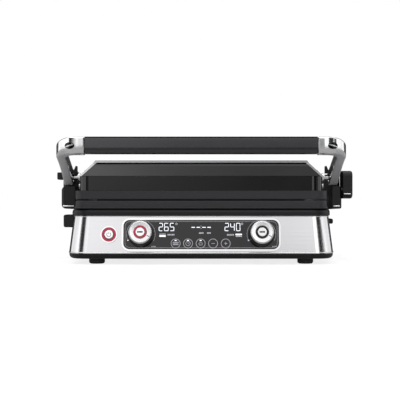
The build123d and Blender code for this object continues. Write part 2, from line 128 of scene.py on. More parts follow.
# ---- materials ----
def brushed_steel(name, stretch, base=(0.66, 0.66, 0.675), rough=(0.24, 0.36), lines=0.05):
    """Steel with fine grain drawn out along one axis."""
    material, tree, shader = new_material(name)
    grain = noise(tree, 1.0, 6.0, object_position(tree, stretch), 0.7)
    cloud = noise(tree, 9.0, 2.0)
    shade = tint(tree, grain, [c * 0.93 for c in base], [min(c * 1.05, 1) for c in base])
    wire(tree, shade, "Color", shader, "Base Color")
    smooth = spread(tree, grain, *rough)
    mix = add(tree, "ShaderNodeMath", operation="ADD")
    soft = spread(tree, cloud, -0.02, 0.03)
    wire(tree, smooth, "Result", mix, 0)
    wire(tree, soft, "Result", mix, 1)
    wire(tree, mix, "Value", shader, "Roughness")
    bump(tree, shader, grain, lines, 0.0002)
    shader.inputs["Metallic"].default_value = 1.0
    return material


def plain_metal(name, base, rough, grain_scale=900.0, depth=0.03, vary=0.05):
    """Cast, plated or polished metal with a fine surface texture."""
    material, tree, shader = new_material(name)
    fine = noise(tree, grain_scale, 5.0)
    cloud = noise(tree, 22.0, 3.0)
    dark = [c * (1 - vary) for c in base]
    light = [min(1, c * (1 + vary)) for c in base]
    shade = tint(tree, cloud, dark, light)
    wire(tree, shade, "Color", shader, "Base Color")
    wire(tree, spread(tree, cloud, *rough), "Result", shader, "Roughness")
    bump(tree, shader, fine, depth, 0.0002)
    shader.inputs["Metallic"].default_value = 1.0
    return material


def moulded(name, base, rough, grain_scale=700.0, depth=0.05, specular=0.5, coat=0.0):
    """Moulded plastic or rubber with a fine grain."""
    material, tree, shader = new_material(name)
    fine = noise(tree, grain_scale, 4.0)
    cloud = noise(tree, 14.0, 3.0)
    shade = tint(tree, cloud, [c * 0.9 for c in base], [c * 1.12 for c in base])
    wire(tree, shade, "Color", shader, "Base Color")
    wire(tree, spread(tree, cloud, *rough), "Result", shader, "Roughness")
    bump(tree, shader, fine, depth, 0.0003)
    shader.inputs["Specular IOR Level"].default_value = specular
    shader.inputs["Coat Weight"].default_value = coat
    shader.inputs["Coat Roughness"].default_value = 0.06
    return material


def nonstick(name):
    """Dark coating with pale flecks over a slightly pebbled casting."""
    material, tree, shader = new_material(name)
    fleck = noise(tree, 1800.0, 2.0)
    pebble = noise(tree, 420.0, 4.0)
    ramp = add(tree, "ShaderNodeValToRGB")
    ramp.color_ramp.elements[0].position = 0.55
    ramp.color_ramp.elements[0].color = (0.020, 0.0195, 0.0235, 1)
    ramp.color_ramp.elements[1].position = 0.72
    ramp.color_ramp.elements[1].color = (0.042, 0.042, 0.048, 1)
    wire(tree, fleck, "Fac", ramp, "Fac")
    wire(tree, ramp, "Color", shader, "Base Color")
    wire(tree, spread(tree, pebble, 0.42, 0.6), "Result", shader, "Roughness")
    bump(tree, shader, pebble, 0.12, 0.0004)
    return material


def glowing(name, colour, strength):
    """A slightly uneven emitter, for lit marks, and for a painted glow on plain grey print."""
    material, tree, shader = new_material(name)
    cloud = noise(tree, 260.0, 2.0)
    shade = tint(tree, cloud, [c * 0.88 for c in colour], colour)
    wire(tree, shade, "Color", shader, "Base Color")
    wire(tree, shade, "Color", shader, "Emission Color")
    shader.inputs["Emission Strength"].default_value = strength
    wire(tree, spread(tree, cloud, 0.3, 0.4), "Result", shader, "Roughness")
    return material


def spun(name):
    """Turned metal: fine rings round the piece's own axis and a stretched highlight."""
    material, tree, shader = new_material(name)
    place = object_position(tree, (1, 1, 1))
    flat = add(tree, "ShaderNodeVectorMath", operation="MULTIPLY")
    flat.inputs[1].default_value = (1, 1, 0)
    wire(tree, place, "Vector", flat, 0)
    radius = add(tree, "ShaderNodeVectorMath", operation="LENGTH")
    wire(tree, flat, "Vector", radius, 0)
    rings = add(tree, "ShaderNodeTexNoise", noise_dimensions="1D", Scale=5200.0, Detail=3.0)
    wire(tree, radius, "Value", rings, "W")
    shade = tint(tree, rings, (0.70, 0.70, 0.71), (0.86, 0.86, 0.87))
    wire(tree, shade, "Color", shader, "Base Color")
    wire(tree, spread(tree, rings, 0.2, 0.32), "Result", shader, "Roughness")
    bump(tree, shader, rings, 0.05, 0.0002)
    tangent = add(tree, "ShaderNodeTangent", direction_type="RADIAL", axis="Z")
    wire(tree, tangent, "Tangent", shader, "Tangent")
    shader.inputs["Anisotropic"].default_value = 0.75
    shader.inputs["Metallic"].default_value = 1.0
    return material


steel_wrap = brushed_steel("steel_wrap", (6, 6, 2600), (0.66, 0.655, 0.67), (0.1, 0.18), 0.03)
steel_lid = brushed_steel("steel_lid", (6, 2600, 2600), (0.66, 0.66, 0.675), (0.16, 0.26))
# steel lighter than the wrap's: its extra brightness paints highlight lines on the hems and on the cover and
# lever beads
hem_steel_painted_highlight = plain_metal("hem_steel_painted_highlight", (0.86, 0.86, 0.87), (0.12, 0.2), 500.0, 0.02, 0.03)
cast_metal = plain_metal("cast_metal", (0.80, 0.80, 0.81), (0.09, 0.15), 700.0, 0.012)
# rougher, darker copy of the cast metal for the arm's downward faces: the rougher finish is the casting's,
# the darker tone is painted shade
cast_satin_painted_shade = plain_metal("cast_satin_painted_shade", (0.70, 0.70, 0.715), (0.5, 0.6), 900.0, 0.05)
chrome = plain_metal("chrome_plate", (0.84, 0.84, 0.85), (0.05, 0.11), 300.0, 0.01, 0.03)
spun_face = spun("spun_face")
zinc = plain_metal("zinc_plate", (0.5, 0.5, 0.51), (0.28, 0.42))
spring_steel = plain_metal("spring_steel", (0.42, 0.42, 0.43), (0.2, 0.35))
bronze = plain_metal("sintered_bronze", (0.52, 0.37, 0.2), (0.35, 0.5), 600.0, 0.12)
tray_metal = plain_metal("tray_metal", (0.6, 0.6, 0.61), (0.3, 0.42))
dark_plastic = moulded("dark_plastic", (0.006, 0.006, 0.0078), (0.32, 0.42), 900.0, 0.08, 0.35)
gloss_black = moulded("gloss_black", (0.003, 0.003, 0.0036), (0.1, 0.16), 500.0, 0.008, 0.5)
fascia_black = moulded("fascia_black", (0.004, 0.004, 0.0044), (0.14, 0.2), 500.0, 0.008, 0.4)
grip_black = moulded("grip_black", (0.008, 0.008, 0.013), (0.2, 0.28), 700.0, 0.02, 0.6, 0.6)
black_glass = moulded("black_glass", (0.008, 0.0072, 0.0092), (0.06, 0.1), 120.0, 0.002, 0.5)
rubber = moulded("rubber", (0.014, 0.014, 0.014), (0.6, 0.75), 1100.0, 0.2)
board_green = moulded("board_green", (0.02, 0.12, 0.05), (0.35, 0.5), 300.0, 0.05)
plate_coat = nonstick("nonstick_coat")
light_red = moulded("light_red", (0.60, 0.025, 0.075), (0.2, 0.3), 400.0, 0.02, 0.5, 0.2)
lit_white = glowing("lit_white", (0.9, 0.94, 1.0), 0.85)
lit_dim = glowing("lit_dim", (0.46, 0.45, 0.48), 0.6)
# grey print on the glass given a faint glow: the glow is painted light
grey_print_painted_glow = glowing("grey_print_painted_glow", (0.36, 0.35, 0.38), 0.45)
matt_line = moulded("matt_line", (0.0025, 0.0025, 0.003), (0.8, 0.9), 900.0, 0.1, 0.1)
print_dark = moulded("print_dark", (0.008, 0.008, 0.009), (0.5, 0.6), 600.0, 0.03, 0.2)
etched_mark = plain_metal("etched_mark", (0.10, 0.10, 0.11), (0.4, 0.5))

NODE_LOOKS = {
    steel_wrap: ["base_wrap"],
    steel_lid: ["lid_cover"],
    cast_metal: ["arm_casting_left", "arm_casting_right"],
    chrome: ["control_bezel", "power_bezel", "power_button", "lid_pins", "knob_button_left",
             "knob_button_right", "knob_face_left", "knob_face_right"],
    zinc: ["pan_screws", "bracket_screws", "handle_core", "arm_screws", "hinge_pins", "lever_pivot",
           "lid_bracket_left", "lid_bracket_right", "encoder_left", "encoder_right", "release_bracket",
           "tray_rails"],
    spring_steel: ["power_spring", "release_spring", "heater_lower", "heater_upper"],
    bronze: ["hinge_bushes"],
    tray_metal: ["drip_tray", "reflector_lower", "reflector_upper"],
    dark_plastic: ["rear_panel", "top_frame", "bottom_pan", "release_button", "tray_front",
                   "arm_cover_left", "arm_cover_right", "height_slider", "release_lever",
                   "hinge_tower_left", "hinge_tower_right", "knob_skirt_left", "knob_skirt_right"],
    gloss_black: ["lid_housing", "display_module", "power_switch", "knob_ring_right"],
    fascia_black: ["lid_fascia"],
    grip_black: ["handle_grip"],
    black_glass: ["control_glass"],
    rubber: ["feet", "cord_inlet"],
    board_green: ["control_board", "power_board"],
    plate_coat: ["lower_plate", "upper_plate"],
    light_red: ["power_light_ring", "knob_ring_left"],
}
for look, names in NODE_LOOKS.items():
    for name in names:
        node_mesh = nodes[name].data
        node_mesh.materials.clear()
        node_mesh.materials.append(look)


# ---- mesh helpers ----
def shaded_object(name, grid, look, smooth):
    """Turns a bmesh into an object, with edges sharper than the angle left hard."""
    bmesh.ops.recalc_face_normals(grid, faces=grid.faces)
    mesh = bpy.data.meshes.new(name)
    grid.to_mesh(mesh)
    grid.free()
    mesh.materials.append(look)
    mesh.polygons.foreach_set("use_smooth", [True] * len(mesh.polygons))
    mesh.set_sharp_from_angle(angle=math.radians(smooth))
    item = bpy.data.objects.new(name, mesh)
    bpy.context.scene.collection.objects.link(item)
    return item


def piece(name, grid, look, body, smooth=38):
    """A piece of the press that rides on one of its bodies."""
    item = shaded_object(name, grid, look, smooth)
    even = item.modifiers.new("even_normals", "WEIGHTED_NORMAL")
    even.keep_sharp = True
    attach(item, body)
    return item


def loft(grid, rings):
    """Closed skin through a row of rings with the same number of points."""
    rows = [[grid.verts.new(point) for point in ring] for ring in rings]
    count = len(rows[0])
    for low, high in zip(rows, rows[1:]):
        for i in range(count):
            j = (i + 1) % count
            grid.faces.new((low[i], low[j], high[j], high[i]))
    grid.faces.new(rows[0])
    grid.faces.new(rows[-1])


def lathe(grid, place, outline, steps=64, closed=False):
    """(radius, out) outline turned about the out axis; an end at radius 0 closes to a point."""
    columns = []
    poles = {}
    for step in range(steps):
        angle = math.tau * step / steps
        column = []
        for index, (radius, out) in enumerate(outline):
            if radius == 0:
                if index not in poles:
                    poles[index] = grid.verts.new(place(0, 0, out))
                column.append(poles[index])
            else:
                across, up = radius * math.cos(angle), radius * math.sin(angle)
                column.append(grid.verts.new(place(across, up, out)))
        columns.append(column)
    span = len(outline) if closed else len(outline) - 1
    for step in range(steps):
        here, there = columns[step], columns[(step + 1) % steps]
        for i in range(span):
            j = (i + 1) % len(outline)
            corners = []
            for vert in (here[i], there[i], there[j], here[j]):
                if vert not in corners:
                    corners.append(vert)
            grid.faces.new(corners)


def prism(grid, place, points, low, high):
    """Flat shape given as (x, up) points, standing between two heights."""
    floor = [grid.verts.new(place(x, up, low)) for x, up in points]
    roof = [grid.verts.new(place(x, up, high)) for x, up in points]
    count = len(points)
    grid.faces.new(floor)
    grid.faces.new(roof)
    for i in range(count):
        j = (i + 1) % count
        grid.faces.new((floor[i], floor[j], roof[j], roof[i]))


def offset_pair(before, here, after, half):
    """The two edge points of a line of even width at one of its corners."""
    along = [Vector(b) - Vector(a) for a, b in ((before, here), (here, after)) if a != b]
    sides = [Vector((-d.y, d.x)).normalized() for d in along]
    mitre = sum(sides, Vector((0, 0))).normalized()
    reach = half / max(mitre.dot(sides[0]), 0.4)
    centre = Vector(here)
    return centre + mitre * reach, centre - mitre * reach


def stroke(grid, place, points, width, low, high, closed=False):
    """Line of even width and height along (x, up) points."""
    points = [tuple(point) for point in points]
    count = len(points)
    rings = []
    for i in range(count):
        before = points[i - 1] if i or closed else points[i]
        after = points[(i + 1) % count] if closed or i + 1 < count else points[i]
        left, right = offset_pair(before, points[i], after, width / 2)
        rings.append([place(left.x, left.y, low), place(right.x, right.y, low),
                      place(right.x, right.y, high), place(left.x, left.y, high)])
    if not closed:
        loft(grid, rings)
        return
    rows = [[grid.verts.new(point) for point in ring] for ring in rings]
    for index, row in enumerate(rows):
        other = rows[(index + 1) % count]
        for i in range(4):
            j = (i + 1) % 4
            grid.faces.new((row[i], row[j], other[j], other[i]))


def arc(x, up, radius, start, end, steps=48):
    """Points round a circle, in degrees anticlockwise from +X."""
    angles = [math.radians(start + (end - start) * i / steps) for i in range(steps + 1)]
    return [(x + radius * math.cos(a), up + radius * math.sin(a)) for a in angles]


def pill(x0, x1, up0, up1, corner=0.3):
    """Rounded rectangle."""
    corner = min(corner, (x1 - x0) / 2, (up1 - up0) / 2)
    points = arc(x1 - corner, up1 - corner, corner, 0, 90, 4)
    points += arc(x0 + corner, up1 - corner, corner, 90, 180, 4)
    points += arc(x0 + corner, up0 + corner, corner, 180, 270, 4)
    return points + arc(x1 - corner, up0 + corner, corner, 270, 360, 4)


def frame_of(origin, across, out):
    """Places (x, up, out) millimetres on a plane facing out."""
    up = out.cross(across)

    def place(x, height, depth):
        return origin + (across * x + up * height + out * depth) * MM

    return place


# ---- panel and knobs ----
OUT = Vector(joints["knob_left_turn"]["axis"]).normalized()
ACROSS = Vector((1, 0, 0))
UP = OUT.cross(ACROSS)
KNOB_UP = 0.5
KNOB_CENTRES = {side: Vector(joints[f"knob_{side}_turn"]["pos_m"]) for side in ("left", "right")}
PANEL_MIDDLE = (KNOB_CENTRES["left"] + KNOB_CENTRES["right"]) / 2 - UP * KNOB_UP * MM
panel = frame_of(PANEL_MIDDLE, ACROSS, OUT)
POWER_X = sum(corner.x for corner in map(Vector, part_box("power_button"))) / 2 / MM
GLASS = 0.5                  # front of the glass
INK = 0.07                   # height of print and lit segments
KNOB_FACE_OUT = 19.5         # front of the knobs' metal caps
SCALE_R = 18.7               # line printed round each knob
SCALE_START = 206            # its left end, in degrees from the right
TOUCH_XS = (-33.2, -17.1, -0.65, 15.5, 32.0)
TOUCH_UP = -11.7
FIGURES_UP = (4.65, 15.4)

SEGMENTS = {"a": ((0, 1), (1, 1)), "b": ((1, 1), (1, 0.5)), "c": ((1, 0.5), (1, 0)), "d": ((0, 0), (1, 0)),
            "e": ((0, 0.5), (0, 0)), "f": ((0, 1), (0, 0.5)), "g": ((0, 0.5), (1, 0.5))}
DIGITS = {"0": "abcdef", "2": "abged", "4": "fgbc", "5": "afgcd", "6": "afgcde"}


def digit(grid, mark, x0, x1, up0, up1, weight=0.85):
    """Seven-segment figure."""
    inset = weight / 2
    wide = x1 - x0 - weight
    tall = up1 - up0 - weight
    for key in DIGITS[mark]:
        (ax, ay), (bx, by) = SEGMENTS[key]
        start = Vector((x0 + inset + ax * wide, up0 + inset + ay * tall))
        end = Vector((x0 + inset + bx * wide, up0 + inset + by * tall))
        trim = (end - start).normalized() * 0.28
        stroke(grid, panel, [start + trim, end - trim], weight, GLASS, GLASS + INK)


def flat(grid, shapes, height=INK):
    for shape in shapes:
        prism(grid, panel, shape, GLASS, GLASS + height)


def word(x0, x1, up0, up1, letters):
    """A row of small blocks where a word would be."""
    pitch = (x1 - x0) / letters
    return [pill(x0 + i * pitch, x0 + (i + 0.72) * pitch, up0, up1, 0.2) for i in range(letters)]


def display_figures():
    """Bright figures, bars and key dots of the display."""
    grid = bmesh.new()
    for mark, x0, x1 in (("2", -55.4, -50.0), ("6", -48.4, -42.6), ("5", -40.8, -35.2)):
        digit(grid, mark, x0, x1, *FIGURES_UP)
    for mark, x0, x1 in (("2", 30.6, 36.2), ("4", 38.0, 43.8), ("0", 45.6, 51.2)):
        digit(grid, mark, x0, x1, *FIGURES_UP)
    flat(grid, [pill(-54.6, -46.2, -3.0, -0.9), pill(44.9, 53.2, -0.9, 1.1)])
    flat(grid, [pill(x, x + 4.5, 9.0, 10.1) for x in (-12.6, -5.9, 1.4, 8.0)])
    flat(grid, [pill(x - 1.3, x + 1.3, -8.3, -7.1) for x in TOUCH_XS[:3]])
    piece("display_figures", grid, lit_white, "base")


def display_dim():
    """Dimmer words, bars and degree rings of the display."""
    grid = bmesh.new()
    flat(grid, word(-43.8, -34.4, -1.2, 0.7, 5) + word(33.7, 43.1, -1.3, 0.7, 5))
    flat(grid, word(-2.9, 3.5, 1.1, 3.0, 4) + word(7.8, 12.9, 1.1, 3.0, 3))
    flat(grid, [pill(-54.6, -46.2, 0.1, 1.1), pill(44.9, 53.2, -2.9, -1.9)])
    flat(grid, [pill(-0.5, 0.5, up - 0.5, up + 0.5) for up in (8.0, 11.1)])
    for x in (-32.3, 53.5):
        stroke(grid, panel, arc(x, 14.1, 1.15, 0, 360, 20)[:-1], 0.6, GLASS, GLASS + INK, closed=True)
    piece("display_dim", grid, lit_dim, "base")


def grid_icon(grid, x, up):
    for row in (-1.25, 1.25):
        middles = [x + i * 1.5 for i in (-2, -1, 0, 1, 2)]
        flat(grid, [pill(middle - 0.6, middle + 0.6, up + row - 1.0, up + row + 1.0) for middle in middles])


def clock_icon(grid, x, up):
    top = GLASS + INK
    stroke(grid, panel, arc(x, up, 2.9, 0, 360, 32)[:-1], 0.7, GLASS, top, closed=True)
    stroke(grid, panel, [(x, up + 1.9), (x, up), (x + 1.5, up - 0.8)], 0.55, GLASS, top)


def pan_icon(grid, x, up):
    top = GLASS + INK
    bowl = [(x - 2.2, up + 0.6), (x - 1.9, up - 2.0), (x + 1.9, up - 2.0), (x + 2.2, up + 0.6)]
    stroke(grid, panel, bowl, 0.65, GLASS, top)
    for dx in (-1.2, 0, 1.2):
        steam = [(x + dx, up + 0.4), (x + dx + 0.3, up + 1.3), (x + dx, up + 2.3)]
        stroke(grid, panel, steam, 0.5, GLASS, top)


def minus_icon(grid, x, up):
    flat(grid, [pill(x - 2.1, x + 2.1, up - 0.35, up + 0.35)])


def plus_icon(grid, x, up):
    minus_icon(grid, x, up)
    flat(grid, [pill(x - 0.35, x + 0.35, up - 2.1, up + 2.1)], INK * 1.1)


def touch_keys():
    grid = bmesh.new()
    for x, icon in zip(TOUCH_XS, (grid_icon, clock_icon, pan_icon, minus_icon, plus_icon)):
        stroke(grid, panel, arc(x, TOUCH_UP, 5.9, 0, 360, 56)[:-1], 0.75, GLASS, GLASS + INK, closed=True)
        icon(grid, x, TOUCH_UP)
    # the grey print glows faintly: painted light
    piece("touch_key_print", grid, grey_print_painted_glow, "base")


def glass_border():
    """Thin pale line printed just inside the glass's edge, and the scale round each knob."""
    grid = bmesh.new()
    stroke(grid, panel, pill(-99.2, 99.2, -17.2, 17.2, 6.2), 0.35, GLASS, GLASS + INK, closed=True)
    for side, sign in (("left", -1), ("right", 1)):
        x = sign * KNOB_CENTRES["right"].x / MM
        stroke(grid, panel, arc(x, KNOB_UP, SCALE_R, SCALE_START, -28, 90), 0.45, GLASS, GLASS + INK)
        flat(grid, word(x + 14.0, x + 20.0, -16.4, -15.0, 4))
    # the grey print glows faintly: painted light
    piece("glass_line_print", grid, grey_print_painted_glow, "base")


def scale_dots():
    """Bright dot at the low end of each knob's scale."""
    grid = bmesh.new()
    for sign in (-1, 1):
        x = sign * KNOB_CENTRES["right"].x / MM
        dot_x = x + SCALE_R * math.cos(math.radians(SCALE_START))
        dot_up = KNOB_UP + SCALE_R * math.sin(math.radians(SCALE_START))
        flat(grid, [arc(dot_x, dot_up, 0.75, 0, 360, 20)[:-1]], INK * 1.5)
    piece("scale_dots", grid, lit_white, "base")


def knob_dial(side):
    """Spun metal cap with a rounded rim, a dished face and a dark line, standing on its own axis."""
    grid = bmesh.new()
    high = KNOB_FACE_OUT
    outline = [(9.05, 4.6), (14.9, 4.6), (15.1, 4.9), (15.1, high - 1.9), (14.95, high - 1.2)]
    outline += [(14.5, high - 0.55), (13.8, high - 0.12), (13.2, high), (12.7, high - 0.1)]
    outline += [(9.2, high - 0.55), (8.4, high - 0.6), (8.1, high - 0.9), (8.1, 12.1), (9.05, 12.1)]
    lathe(grid, lambda x, y, z: Vector((x, y, z)) * MM, outline, 96, closed=True)
    dial = shaded_object(f"knob_dial_{side}", grid, spun_face, 50)
    axes = Matrix((ACROSS, UP, OUT)).transposed().to_4x4()
    dial.matrix_world = Matrix.Translation(KNOB_CENTRES[side]) @ axes
    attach(dial, f"knob_{side}")
    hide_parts(f"knob_face_{side}")


def knob_marks(side):
    """Pointer line on the knob's face and a word's blocks on its button."""
    place = frame_of(KNOB_CENTRES[side], ACROSS, OUT)
    grid = bmesh.new()
    angle = math.radians(-27)
    tip = Vector((math.cos(angle), math.sin(angle)))
    stroke(grid, place, [tip * 9.8, tip * 13.4], 0.8, KNOB_FACE_OUT - 0.5, KNOB_FACE_OUT + 0.05)
    piece(f"knob_line_{side}", grid, print_dark, f"knob_{side}")
    grid = bmesh.new()
    top = KNOB_FACE_OUT + 0.4
    for i in range(4):
        prism(grid, place, pill(-3.6 + i * 1.8, -2.05 + i * 1.8, -1.15, 1.15, 0.2), top - 0.3, top + 0.08)
    piece(f"knob_mark_{side}", grid, print_dark, f"knob_button_{side}")


def power_mark():
    grid = bmesh.new()
    place = frame_of(panel(POWER_X, 0, 0), ACROSS, OUT)
    top = 2.3
    stroke(grid, place, arc(0, -0.2, 2.7, 125, 415, 40), 0.8, top - 0.3, top + 0.07)
    stroke(grid, place, [(0, 0.6), (0, 3.2)], 0.8, top - 0.3, top + 0.07)
    piece("power_mark", grid, etched_mark, "power_button")


# ---- handle castings ----
ARM_LOW, ARM_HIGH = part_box("arm_casting_right")
ARM_OUT = ARM_HIGH[0] / MM
HANDLE_FRONT = ARM_LOW[1] / MM
HANDLE_TOP = ARM_HIGH[2] / MM
GRIP_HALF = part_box("handle_grip")[1][0] / MM
ARM_THICK = 12.0
OUTER_R = 32.0
INNER_R = 15.0
HANDLE_DEEP = 19.5
GRIP_LOW = 143.0
ARM_END_Y = -61.0            # where the arm's sweep ends, at the boss
BEVEL_END_Y = -132.0         # where the lower bevel has faded to its least
BEVEL_FADE = 22.0
BOSS = (-56.0, 116.0)
BOSS_R = 11.5
HINGE = (joints["arm_hinge"]["pos_m"][1] / MM, joints["arm_hinge"]["pos_m"][2] / MM)


def lerp_table(table, value):
    """Straight-line reading of a table of (x, y) rows."""
    if value <= table[0][0]:
        return table[0][1]
    for (xa, ya), (xb, yb) in zip(table, table[1:]):
        if value <= xb:
            return ya + (yb - ya) * (value - xa) / (xb - xa)
    return table[-1][1]


def arm_top(y):
    """Height of the arm's upper edge."""
    return lerp_table([(-158.6, HANDLE_TOP), (-129, 154.6), (-55, 127.5)], y)


def arm_bottom(y):
    """Level under the grip, then an arching sweep down to the boss."""
    if y <= -148:
        return 142.9
    rows = ((-148, 142.8), (-108, 130.2), (-62, 106.1))
    total = 0
    for i, (yi, zi) in enumerate(rows):
        share = zi
        for j, (yj, _) in enumerate(rows):
            if i != j:
                share *= (y - yj) / (yi - yj)
        total += share
    return total


def arm_ring(outer, inner, soft=0.0, bevel=1.0):
    """Rounded section between an outer and an inner point of the plan."""
    outer, inner = Vector(outer), Vector(inner)
    wide = (inner - outer).length

    def at(across, level, rise):
        place = outer + (inner - outer) * (across / wide)
        edge = arm_bottom(place.y) if level == "low" else arm_top(place.y)
        return Vector((place.x, place.y, edge + rise))

    cut = max(bevel, 0.2)
    rows = [(soft, "low", 6.4 * cut), (1.0 * cut, "low", 4.4 * cut), (3.2 * cut, "low", 1.6 * cut),
            (5.0 * cut, "low", 0.5 * cut), (7.0 * cut, "low", soft),
            (wide - 2.0, "low", soft), (wide - 0.6, "low", 0.6), (wide - soft, "low", 2.0),
            (wide - soft, "high", -2.0), (wide - 0.6, "high", -0.6), (wide - 2.0, "high", -soft),
            (3.0, "high", -soft), (1.2, "high", -0.5), (0.3, "high", -1.5), (soft, "high", -2.8)]
    return [at(*row) for row in rows]


def arm_stations():
    """Pairs of outer and inner plan points from the grip's end round the corner to the boss."""
    inside = ARM_OUT - ARM_THICK
    back = HANDLE_FRONT + HANDLE_DEEP
    outer_c = (ARM_OUT - OUTER_R, HANDLE_FRONT + OUTER_R)
    inner_c = (inside - INNER_R, back + INNER_R)
    start = GRIP_HALF + 0.3
    rows = []
    for i in range(6):
        share = i / 6
        xo = start + (outer_c[0] - start) * share
        xi = start + (inner_c[0] - start) * share
        rows.append(((xo, HANDLE_FRONT), (xi, back)))
    for i in range(25):
        angle = math.radians(-90 + 90 * i / 24)
        rows.append(((outer_c[0] + OUTER_R * math.cos(angle), outer_c[1] + OUTER_R * math.sin(angle)),
                     (inner_c[0] + INNER_R * math.cos(angle), inner_c[1] + INNER_R * math.sin(angle))))
    for i in range(1, 13):
        share = i / 12
        yo = outer_c[1] + (ARM_END_Y - outer_c[1]) * share
        yi = inner_c[1] + (ARM_END_Y - inner_c[1]) * share
        rows.append(((ARM_OUT, yo), (inside, yi)))
    return rows


def mirrored(side, rings):
    """Rings in metres, on the asked side of the press."""
    sign = 1 if side == "right" else -1
    return [[Vector((p.x * sign, p.y, p.z)) * MM for p in ring] for ring in rings]


def side_frame(side, y, z):
    """(x, up) run along Y and Z here, out runs towards the outside."""
    sign = 1 if side == "right" else -1

    def place(along, up, out):
        return Vector((sign * out, y + along, z + up)) * MM

    return place


def arm_shell(side):
    """Die-cast arm from the grip round the corner to its boss, with the bar back to the hinge."""
    grid = bmesh.new()
    stations = arm_stations()
    rings = [arm_ring(*stations[0], 0.5)]
    rings += [arm_ring(*row, 0.0, min(1.0, (BEVEL_END_Y - row[0][1]) / BEVEL_FADE)) for row in stations]
    rings[1] = [p + Vector((0.7, 0, 0)) for p in rings[1]]
    loft(grid, mirrored(side, rings))
    inside = ARM_OUT - ARM_THICK
    boss = [(0, inside + 2.2), (6.0, inside + 2.2), (6.4, inside), (BOSS_R - 1.4, inside)]
    boss += [(BOSS_R - 0.4, inside + 0.4), (BOSS_R, inside + 1.4), (BOSS_R, ARM_OUT - 1.6)]
    boss += [(BOSS_R - 0.5, ARM_OUT - 0.5), (BOSS_R - 1.6, ARM_OUT), (0, ARM_OUT)]
    lathe(grid, side_frame(side, *BOSS), boss, 64)
    bar_in = ARM_OUT - 5.0
    bar_back = HINGE[0] - 9
    bar = [(BOSS[0], 121.0), (bar_back, HINGE[1] + 9.0), (bar_back, HINGE[1] - 8.4), (BOSS[0], 109.0)]
    prism(grid, side_frame(side, 0, 0), bar, bar_in, ARM_OUT)
    knuckle = [(7.05, bar_in), (11.4, bar_in), (12.0, bar_in + 0.6), (12.0, ARM_OUT - 0.6), (11.4, ARM_OUT),
               (7.05, ARM_OUT)]
    lathe(grid, side_frame(side, *HINGE), knuckle, 48, closed=True)
    shell = piece(f"arm_shell_{side}", grid, cast_metal, "arms", 42)
    shell.data.materials.append(cast_satin_painted_shade)
    # faces turned down take the satin copy, whose darker tone is painted shade
    for polygon in shell.data.polygons:
        if polygon.normal.z < -0.45 and polygon.center.y > (HANDLE_FRONT + 6) * MM:
            polygon.material_index = 1
    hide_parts(f"arm_casting_{side}")


def arm_gusset(side):
    """Small black web that guards the lid's pin, inside the arm."""
    grid = bmesh.new()
    inside = ARM_OUT - ARM_THICK
    outline = [(inside + 0.3, 121.2), (inside - 5.2, 121.2), (inside - 5.2, 130.6), (inside - 4.2, 131.4)]
    sign = 1 if side == "right" else -1
    rings = []
    for y, cut in ((-64, 0.6), (-63.4, 0), (-50.6, 0), (-50, 0.6)):
        corners = [(x + cut * 0.4 if x < inside else x, z - cut * 0.5) for x, z in outline]
        rings.append([Vector((sign * x, y, z)) * MM for x, z in corners])
    loft(grid, rings)
    piece(f"arm_gusset_{side}", grid, dark_plastic, "arms")


SCREW_ANGLE = 20.5           # from straight ahead, round the corner
SCREW_Z = 153.6


def corner_place(side):
    """Wraps (arc length, height, out) round the handle's rounded corner."""
    sign = 1 if side == "right" else -1

    def place(along, up, out):
        angle = math.radians(SCREW_ANGLE) + along / OUTER_R
        x = ARM_OUT - OUTER_R + (OUTER_R + out) * math.sin(angle)
        y = HANDLE_FRONT + OUTER_R - (OUTER_R + out) * math.cos(angle)
        return Vector((sign * x, y, SCREW_Z + up)) * MM

    return place


def oval(grid, place, wide, tall, rows):
    """Lens with an oval outline; rows give (share of the size, height)."""
    lathe(grid, lambda x, up, out: place(x * wide, up * tall, out), rows, 48)


def arm_screw(side):
    """Oval of gloss black in the casting's corner, painted shade where the screw's recess would be, with a
    bright bar across it.
    """
    place = corner_place(side)
    grid = bmesh.new()
    # black oval: painted shade of the screw's recess
    oval(grid, place, 7.1, 4.4, [(0, -1.5), (0.97, -1.5), (1.0, 0.1), (0.95, 0.3), (0.88, 0.26), (0, 0.2)])
    piece(f"screw_recess_shade_{side}", grid, gloss_black, "arms")
    grid = bmesh.new()
    tilt = math.radians(15)
    turns = [math.tau * i / 12 for i in range(12)]
    rings = []
    for reach, half, rise in ((-6.2, 0.6, -0.06), (-1.7, 0.85, 0.3), (1.7, 0.85, 0.3), (6.2, 0.6, -0.06)):
        along, up = reach * math.cos(tilt), -reach * math.sin(tilt)
        rings.append([place(along, up + half * math.sin(a), rise + 0.4 * math.cos(a)) for a in turns])
    loft(grid, rings)
    piece(f"arm_screw_{side}", grid, chrome, "arms")


